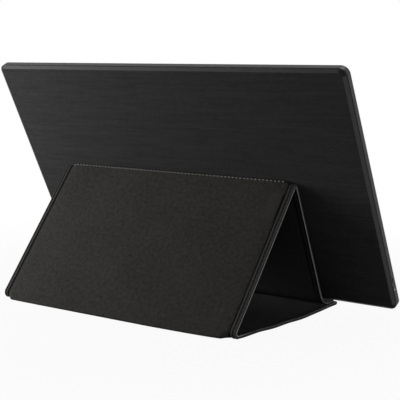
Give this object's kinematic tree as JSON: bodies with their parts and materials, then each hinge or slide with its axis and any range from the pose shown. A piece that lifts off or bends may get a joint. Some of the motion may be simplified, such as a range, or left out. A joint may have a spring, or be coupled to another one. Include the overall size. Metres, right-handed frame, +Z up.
{
  "type": "portable monitor with cover",
  "caption": "Slim portable monitor leaning on its folding fabric cover, which stands as a triangular prism behind the screen.",
  "frame": {"origin": "on the table, under the screen's middle, midway between the cover's front edge and its foot", "axes": "+X right when the picture is seen from the front, +Y to the back, +Z up"},
  "size_m": [0.3824, 0.1686, 0.2201],
  "materials": {
    "rear_shell": "black plastic with fine brushed lines across",
    "bezel": "satin dark grey plastic",
    "foam": "thin black foam tape",
    "panel_glass": "anti-glare black display glass",
    "optical_film": "white and clear backlight films",
    "lamp_strip": "row of small lamps",
    "sheet_steel": "plain sheet steel",
    "screw_steel": "zinc plated",
    "flat_cable": "flat flexible cable",
    "circuit_board": "green solder mask",
    "chip": "black moulded parts",
    "socket_steel": "nickel plated shell",
    "lamp_lens": "clear milky lens",
    "key_cap": "satin dark grey cap",
    "outer_fabric": "brown-black twill",
    "stiffener": "plastic sheet",
    "lining": "smooth black lining cloth",
    "binding": "black grained edge binding",
    "grip": "soft black silicone",
    "magnet": "nickel plated",
    "tag": "bare woven tag"
  },
  "bodies": {
    "cover_back": {"rear_outer_fabric": "outer_fabric", "rear_stiffener": "stiffener", "rear_lining": "lining", "rear_binding": "binding", "grip_strip": "grip", "ledge_magnets": "magnet"},
    "screen": {"rear_cover": "rear_shell", "front_bezel": "bezel", "foam_gasket": "foam", "lcd_cell": "panel_glass", "prism_sheet": "optical_film", "diffuser_sheet": "optical_film", "light_guide": "optical_film", "reflector_sheet": "optical_film", "light_strip": "lamp_strip", "panel_tray": "sheet_steel", "tray_screws": "screw_steel", "glass_tapes": "flat_cable", "driver_board": "circuit_board", "display_cable": "flat_cable", "controller_board": "circuit_board", "bridge_chip": "chip", "chip_shield": "sheet_steel", "memory_chip": "chip", "board_parts": "chip", "board_screws": "screw_steel", "usb_socket": "socket_steel", "status_lamp": "lamp_lens", "key_board": "circuit_board", "key_switches": "chip", "key_cable": "flat_cable"},
    "cover_slope": {"apex_fold": "outer_fabric", "slope_outer_fabric": "outer_fabric", "slope_stiffener": "stiffener", "slope_lining": "lining", "slope_binding": "binding", "foot_fold": "outer_fabric", "sewn_tag": "tag"},
    "cover_base": {"base_outer_fabric": "outer_fabric", "base_stiffener": "stiffener", "base_lining": "lining", "base_binding": "binding", "base_magnets": "magnet"},
    "power_key": {"power_key": "key_cap"},
    "menu_key": {"menu_key": "key_cap"}
  },
  "joints": [
    {"name": "screen_lift", "type": "slide", "parent": "cover_back", "child": "screen", "axis": [0, 0.4462, 0.8949], "range_m": [0, 0.05]},
    {"name": "apex_hinge", "type": "hinge", "parent": "cover_back", "child": "cover_slope", "pos_m": [0, -0.01134, 0.11916], "axis": [1, 0, 0], "range_deg": [0, 111.5]},
    {"name": "foot_hinge", "type": "hinge", "parent": "cover_slope", "child": "cover_base", "pos_m": [0, 0.08305, 0.0013], "axis": [1, 0, 0], "range_deg": [0, 128]},
    {"name": "power_key_press", "type": "slide", "parent": "screen", "child": "power_key", "axis": [0, 0.8949, -0.4462], "range_m": [0, 0.0004], "stiffness_N_per_m": 1200},
    {"name": "menu_key_press", "type": "slide", "parent": "screen", "child": "menu_key", "axis": [0, 0.8949, -0.4462], "range_m": [0, 0.0004], "stiffness_N_per_m": 1200}
  ]
}
